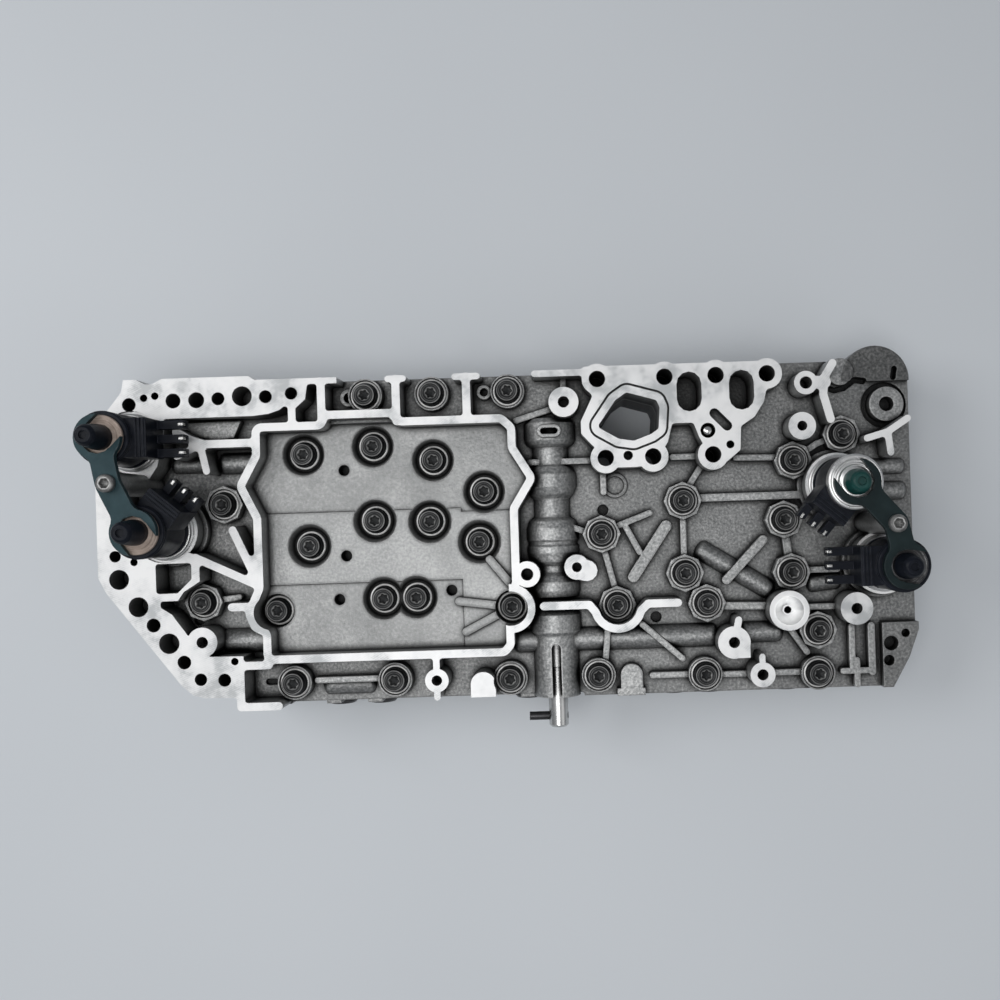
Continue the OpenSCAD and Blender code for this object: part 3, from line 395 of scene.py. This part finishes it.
upper_cast = casting("cast_aluminium_upper", UPPER_MILLED)
lower_cast = casting("cast_aluminium_lower", LOWER_MILLED)
screw = screw_steel("screw_steel", (0.006, 0.007, 0.008), (0.018, 0.019, 0.020))
pale_screw = screw_steel("bracket_screw_steel", (0.10, 0.10, 0.10), (0.22, 0.22, 0.215))
chrome = turned_steel("chrome_rod", (0.66, 0.66, 0.65), 0.26)
spool_alloy = turned_steel("spool_alloy", (0.66, 0.66, 0.65), 0.28)
ball_steel = turned_steel("ball_steel", (0.72, 0.72, 0.71), 0.14)
thread_metal = painted("cut_thread", (0.30, 0.30, 0.295), (0.55, 0.55, 0.54), 0.30,
                       metal=0.9, scale=500.0, relief=0.05)
plate_steel = painted("plate_steel", (0.42, 0.42, 0.42), (0.56, 0.56, 0.55), 0.34,
                      metal=0.9, scale=120.0, relief=0.05)
spring_steel = painted("spring_steel", (0.26, 0.27, 0.28), (0.40, 0.40, 0.41), 0.30,
                       metal=0.9, scale=500.0, relief=0.05)
silver = painted("disc_silver", (0.62, 0.62, 0.62), (0.86, 0.86, 0.85), 0.33,
                 metal=0.9, scale=200.0, relief=0.06)
tin = painted("contact_tin", (0.50, 0.50, 0.49), (0.74, 0.74, 0.72), 0.28,
              metal=0.95, scale=300.0, relief=0.05)
brass = painted("terminal_brass", (0.42, 0.29, 0.10), (0.62, 0.46, 0.20), 0.30,
                metal=0.95, scale=300.0, relief=0.05)
beige = painted("disc_beige", (0.25, 0.195, 0.16), (0.41, 0.33, 0.28), 0.50,
                metal=0.15, scale=420.0)
rubber = painted("seal_rubber", (0.012, 0.012, 0.012), (0.028, 0.028, 0.028), 0.55,
                 scale=400.0, relief=0.10)
green = painted("nose_green", (0.002, 0.030, 0.027), (0.006, 0.062, 0.055), 0.42,
                scale=300.0, relief=0.10, gloss=0.3)
black_steel = painted("black_steel", (0.018, 0.018, 0.02), (0.045, 0.045, 0.048), 0.36,
                      metal=0.5, scale=300.0, relief=0.10, edge_tone=(0.22, 0.22, 0.22))
plastic = painted("coil_plastic", (0.0035, 0.0048, 0.008), (0.009, 0.011, 0.017), 0.36,
                  scale=320.0, relief=0.18, edge_tone=(0.040, 0.044, 0.056), gloss=0.12)
slate = painted("slate_paint", (0.012, 0.030, 0.036), (0.026, 0.055, 0.064), 0.42,
                metal=0.2, scale=170.0, relief=0.20, edge_tone=(0.15, 0.175, 0.18), gloss=0.18)
dark_paint = painted("dark_paint", (0.003, 0.009, 0.010), (0.010, 0.021, 0.023), 0.42,
                     metal=0.1, scale=170.0, relief=0.20, edge_tone=(0.06, 0.075, 0.078), gloss=0.2)


def dress(material, *names):
    for name in names:
        mesh = nodes[name].data
        mesh.materials.clear()
        mesh.materials.append(material)


dress(upper_cast, "upper_housing")
dress(lower_cast, "lower_housing")
dress(plate_steel, "separator_plate")
dress(chrome, "manual_valve")
dress(black_steel, "manual_valve_pin", "plug_pins", "disc_4", *[f"plug_{i}" for i in VALVES])
dress(spool_alloy, *[f"spool_{i}" for i in VALVES])
dress(spring_steel, *[f"spring_{i}" for i in VALVES])
dress(silver, "disc_3", *[f"sleeve_{i}" for i in COILS])
dress(plastic, "nose_1", "nose_2", "nose_4", *[f"coil_{i}" for i in COILS])
dress(green, "nose_3")
dress(beige, "disc_1", "disc_2")
dress(brass, *[f"terminals_{i}" for i in COILS])
dress(rubber, "solenoid_seals")
dress(slate, "left_bracket")
dress(dark_paint, "right_bracket")
dress(ball_steel, "check_balls", "seal_ball")


def finished(bm, name, material):
    """The piece made of a bmesh, riding on the housing."""
    mesh = bpy.data.meshes.new(name)
    bm.to_mesh(mesh)
    bm.free()
    mesh.materials.append(material)
    piece = bpy.data.objects.new(name, mesh)
    bpy.context.scene.collection.objects.link(piece)
    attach(piece, "housing")
    return piece


# Turned pieces
HEAD_HIGH = 5.3
HIDDEN = 0.2
TURN_STEP = 0.9
SCREW_SIDES, DISC_SIDES, THREAD_SIDES = 48, 64, 32


def lobe(r, angle, depth):
    """Radius of a six-lobed star: round lobes with hollows between them."""
    return r * (1.0 + depth * math.cos(6.0 * angle))


def ring_row(bm, x, y, ring, segments, turn):
    r, z, star = ring
    row = []
    for i in range(segments):
        a = 2.0 * math.pi * i / segments
        rr = lobe(r, a, star)
        at = (x + rr * math.cos(a + turn), y + rr * math.sin(a + turn), z)
        row.append(bm.verts.new([v * MM for v in at]))
    return row


def turned(name, places, rings, segments, material, loop_back=False):
    """Turned pieces as one mesh: rings of (radius, height, star depth) in millimetres, from the tip up.

    The ends are capped, or with loop_back the last ring joins the first, as in a hoop.
    The UV layer gives the radius in centimetres and whether the ring is on the head.
    """
    bm = bmesh.new()
    uv = bm.loops.layers.uv.new("turned")
    top = max(z for _, z, _ in rings)
    last = 1 if loop_back else 0
    for k, (x, y) in enumerate(places):
        rows = [ring_row(bm, x, y, ring, segments, TURN_STEP * k) for ring in rings]
        pairs = zip(zip(rows, rows[1:] + rows[:last]), zip(rings, rings[1:] + rings[:last]))
        for (low, high), (a_ring, b_ring) in pairs:
            for i in range(segments):
                j = (i + 1) % segments
                face = bm.faces.new((low[i], low[j], high[j], high[i]))
                face.smooth = True
                for loop, ring in zip(face.loops, (a_ring, a_ring, b_ring, b_ring)):
                    loop[uv].uv = (ring[0] / 10.0, 1.0 if ring[1] > top - HEAD_HIGH else HIDDEN)
        if not loop_back:
            for row, ring in ((rows[0][::-1], rings[0]), (rows[-1], rings[-1])):
                for loop in bm.faces.new(row).loops:
                    loop[uv].uv = (ring[0] / 10.0, HIDDEN)
    return finished(bm, name, material)


# Screws with turned rings and a six-lobed recess: (radius, height over the seat, star depth)
FLANGE_HEAD = [(5.85, 0.0, 0), (6.0, 0.15, 0), (6.0, 0.7, 0), (5.93, 0.92, 0), (5.72, 1.1, 0),
               (5.3, 1.2, 0), (4.98, 1.2, 0), (4.84, 1.28, 0), (4.8, 1.45, 0), (4.8, 3.7, 0),
               (4.74, 4.1, 0), (4.4, 4.95, 0), (4.28, 5.15, 0), (4.18, 5.2, 0), (3.8, 5.2, 0),
               (3.65, 5.02, 0), (3.4, 5.0, 0), (3.3, 5.12, 0), (3.1, 5.12, 0), (3.0, 5.0, 0),
               (2.4, 5.0, 0.02), (2.15, 4.95, 0.09), (2.0, 4.7, 0.13), (1.85, 3.05, 0.13),
               (1.5, 2.95, 0.08), (0.5, 2.6, 0)]
ROUND_HEAD = [(3.3, 0.0, 0), (3.4, 0.15, 0), (3.4, 1.7, 0), (3.25, 2.25, 0), (2.9, 2.5, 0), (2.4, 2.6, 0),
              (2.0, 2.6, 0.02), (1.75, 2.5, 0.10), (1.65, 2.3, 0.13), (1.6, 1.0, 0.13), (0.4, 0.8, 0)]


def screw_rings(head, shank, seat, tip):
    """Rings of a screw from its tip: a chamfered shank, then the head on its seat."""
    radius, point, chamfer = shank
    body = [(point, tip, 0), (radius, tip + chamfer, 0), (radius, seat, 0)]
    return body + [(r, seat + rise, star) for r, rise, star in head]


for label, places, seat in (("pocket_bolts", POCKET, POCKET_SEAT), ("deck_bolts", DECK, DECK_SEAT),
                            ("edge_bolts", EDGE, DECK_SEAT)):
    rings = screw_rings(FLANGE_HEAD, LARGE_SHANK, seat, SCREW_TIP)
    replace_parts(turned(label + "_turned", places, rings, SCREW_SIDES, screw), label)

rings = screw_rings(ROUND_HEAD, SMALL_SHANK, BRACKET_TOP, BRACKET_TOP - BRACKET_SCREW_LONG)
small = turned("bracket_screws_turned", BRACKET_SCREWS, rings, SCREW_SIDES, pale_screw)
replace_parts(small, "bracket_screws")


# Solenoids: grooved pole discs, steel yoke rings and tinned contact tabs
DISC = [(7.9, 80.0, 0), (8.4, 80.0, 0), (8.5, 80.1, 0), (8.5, 81.25, 0), (8.3, 81.47, 0), (7.75, 81.5, 0),
        (7.65, 81.4, 0), (7.4, 81.38, 0), (7.3, 81.5, 0), (6.5, 81.5, 0), (6.4, 81.32, 0), (5.95, 81.3, 0),
        (5.85, 81.48, 0), (5.0, 81.5, 0)]
YOKE = [(10.25, 52.02, 0), (11.6, 52.02, 0), (11.65, 52.1, 0), (11.65, 53.4, 0), (11.45, 53.6, 0),
        (11.1, 53.65, 0), (10.95, 53.8, 0), (10.95, 55.3, 0), (10.8, 55.5, 0), (10.25, 55.5, 0)]
CAN = [(10.25, 77.7, 0), (10.42, 77.7, 0), (10.5, 77.8, 0), (10.5, 80.6, 0), (10.35, 81.0, 0),
       (9.9, 81.3, 0), (9.4, 81.4, 0), (9.3, 81.26, 0), (9.0, 81.26, 0), (8.9, 81.4, 0), (8.55, 81.4, 0),
       (8.55, 80.03, 0), (10.25, 80.03, 0)]
POLES = [(beige, "disc_beige"), (beige, "disc_beige"), (silver, "plate_steel"),
         (black_steel, "black_steel")]


def tabs(name, x, y, turn, length):
    """Three folded contact strips, one over the tip of each finger of a connector."""
    tip = FINGER_ROOT + length
    under, over, foot = FINGER_TOP + TAB_UNDER, FINGER_TOP + TAB_OVER, FINGER_TOP - TAB_DROP
    back, near, far = tip - TAB_LONG, tip + TAB_NEAR, tip + TAB_FAR
    fold = [(back, under), (back, over), (tip + TAB_BEND, over), (far, over - TAB_ROUND), (far, foot),
            (near, foot), (near, under)]
    c, s = math.cos(math.radians(turn)), math.sin(math.radians(turn))
    bm = bmesh.new()
    for side in (-FINGER_PITCH, 0.0, FINGER_PITCH):
        rows = []
        for v in (side - TAB_WIDE / 2, side + TAB_WIDE / 2):
            strip = [(x + u * c - v * s, y + u * s + v * c, z) for u, z in fold]
            rows.append([bm.verts.new([n * MM for n in at]) for at in strip])
        for i in range(len(fold)):
            j = (i + 1) % len(fold)
            bm.faces.new((rows[0][i], rows[0][j], rows[1][j], rows[1][i]))
        bm.faces.new(rows[0][::-1])
        bm.faces.new(rows[1])
    bmesh.ops.recalc_face_normals(bm, faces=bm.faces)
    return finished(bm, name, tin)


for i, ((x, y, turn, length), (metal, slot)) in enumerate(zip(SOLENOIDS, POLES), 1):
    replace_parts(turned(f"disc_{i}_turned", [(x, y)], DISC, DISC_SIDES, metal), f"disc_{i}")
    turned(f"yoke_{i}", [(x, y)], YOKE, DISC_SIDES, silver, loop_back=True)
    tabs(f"contacts_{i}", x, y, turn, length)
turned("can_3", [SOLENOIDS[2][:2]], CAN, DISC_SIDES, silver, loop_back=True)


# Return springs, one behind each spool
def spring(name, x):
    """Round wire wound along Y, with its end turns closer together than the rest."""
    steps, sides = 28, 10
    count = SPRING_TURNS * steps
    half = SPRING_WIRE / 2
    bm = bmesh.new()
    rows = []
    for k in range(count + 1):
        a = 2.0 * math.pi * k / steps
        t = k / count
        rise = t - 0.055 * math.sin(2.0 * math.pi * t)
        y = SPRING_Y + half + (SPRING_LONG - SPRING_WIRE) * rise
        row = []
        for i in range(sides):
            b = 2.0 * math.pi * i / sides
            r = SPRING_R + half * math.cos(b)
            at = (x + r * math.cos(a), y + half * math.sin(b), VALVE_Z + r * math.sin(a))
            row.append(bm.verts.new([v * MM for v in at]))
        rows.append(row)
    for low, high in zip(rows, rows[1:]):
        for i in range(sides):
            j = (i + 1) % sides
            bm.faces.new((low[i], high[i], high[j], low[j])).smooth = True
    bm.faces.new(rows[0])
    bm.faces.new(rows[-1][::-1])
    return finished(bm, name, spring_steel)


for i, x in zip(VALVES, VALVE_X):
    coil = spring(f"spring_{i}_wound", x)
    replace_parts(coil, f"spring_{i}")
    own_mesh(coil)


# Threads in the tapped bosses
def thread_rings(bore):
    """Rings of a threaded sleeve, down its bore and back up inside the boss."""
    crest, root, wall = bore / 2 - THREAD_DEEP, bore / 2 + THREAD_FIT, bore / 2 + THREAD_WALL
    rings = [(wall, BOSS_LIP, 0), (root, BOSS_LIP, 0)]
    for k in range(THREAD_TURNS):
        z = FIRST_TURN - PITCH * k
        rings += [(root, z, 0), (crest, z - PITCH / 2, 0)]
    return rings + [(wall, z - PITCH / 2, 0)]


for k, (x, y, bore) in enumerate(TAPPED, 1):
    rings = thread_rings(bore)
    turned(f"thread_{k}", [(x, y)], rings, THREAD_SIDES, thread_metal, loop_back=True)


# Floor, light and camera, in metres
def floor_material():
    g = Graph("pale_floor")
    tone = g.ramp(g.noise(3.0, 2.0), (0.3, (0.62, 0.65, 0.68)), (0.7, (0.66, 0.69, 0.72)))
    g.set(Base_Color=tone, Roughness=0.8)
    return g.mat


def lamp(name, place, aim, size, power):
    light = bpy.data.lights.new(name, "AREA")
    light.shape = "RECTANGLE"
    light.size, light.size_y = size
    light.energy = power
    ob = bpy.data.objects.new(name, light)
    ob.location = place
    ob.rotation_euler = (Vector(aim) - Vector(place)).to_track_quat("-Z", "Y").to_euler()
    bpy.context.scene.collection.objects.link(ob)


bpy.ops.mesh.primitive_plane_add(size=6.0, location=(0, 0, 0))
floor = bpy.context.active_object
floor.name = "floor"
floor.data.materials.append(floor_material())

lamp("key", place=(-0.75, 0.25, 0.85), aim=(0, 0, 0.04), size=(0.5, 0.5), power=3.4)
lamp("overhead", place=(-0.10, -0.12, 1.05), aim=(-0.04, -0.02, 0), size=(0.60, 0.45), power=4.1)
lamp("fill", place=(0.8, -0.4, 0.7), aim=(0, 0, 0.04), size=(0.8, 0.6), power=1.0)
world = bpy.data.worlds.new("studio")
world.use_nodes = True
world.node_tree.nodes["Background"].inputs["Color"].default_value = (0.92, 0.95, 1.0, 1.0)
world.node_tree.nodes["Background"].inputs["Strength"].default_value = 0.25
bpy.context.scene.world = world
bpy.context.scene.view_settings.view_transform = "Standard"

# The view is 400 mm wide at 420 mm from the camera
SENSOR, VIEW_FROM, VIEW_WIDE = 36.0, 420.0, 400.0
lens = bpy.data.cameras.new("camera")
lens.sensor_fit = "HORIZONTAL"
lens.sensor_width = SENSOR
lens.lens = SENSOR * VIEW_FROM / VIEW_WIDE
lens.shift_x = -0.0765
lens.shift_y = 0.0177
lens.clip_start = 0.01
lens.clip_end = 20.0
camera = bpy.data.objects.new("camera", lens)
camera.location = (0.029, 0.004, 0.474)
camera.rotation_euler = (0.0, 0.0, math.radians(-1.9))
bpy.context.scene.collection.objects.link(camera)
bpy.context.scene.camera = camera
